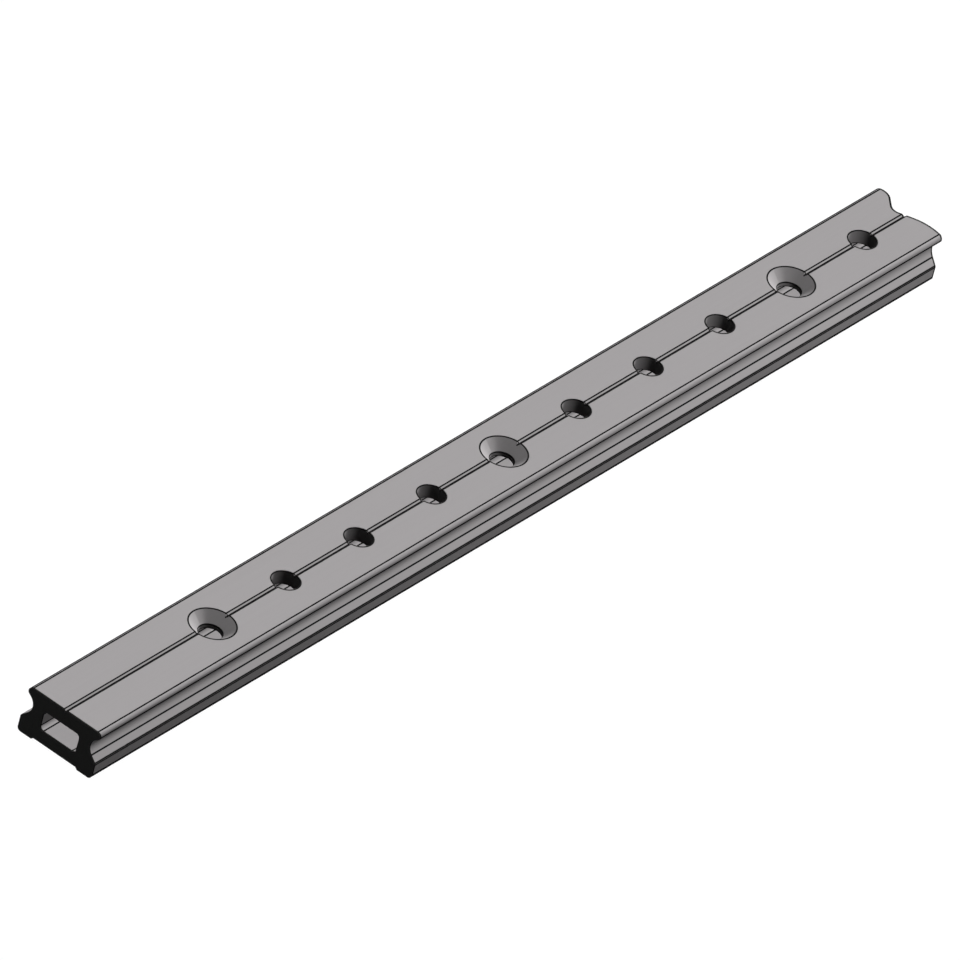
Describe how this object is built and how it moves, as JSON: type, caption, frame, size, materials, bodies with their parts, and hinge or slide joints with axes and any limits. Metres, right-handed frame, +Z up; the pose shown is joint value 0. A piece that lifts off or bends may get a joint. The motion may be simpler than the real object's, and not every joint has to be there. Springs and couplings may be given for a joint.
{
  "type": "sail track section",
  "caption": "Hollow aluminium deck track with a ball race along each side, countersunk screw holes and plain stop holes, sawn square at one end and cut to a wave at the other.",
  "frame": {"origin": "under the middle of the track's overall length, on the centre line and on the plane of the two feet", "axes": "+X along the track from the sawn end to the wave-cut end, +Y to the side of the highest wave crest, +Z up from the deck"},
  "size_m": [0.2928, 0.0208, 0.012],
  "materials": {
    "anodised_aluminium": "satin grey anodised extrusion with dark sealed ends"
  },
  "bodies": {
    "root": {"track_section": "anodised_aluminium"}
  },
  "joints": []
}
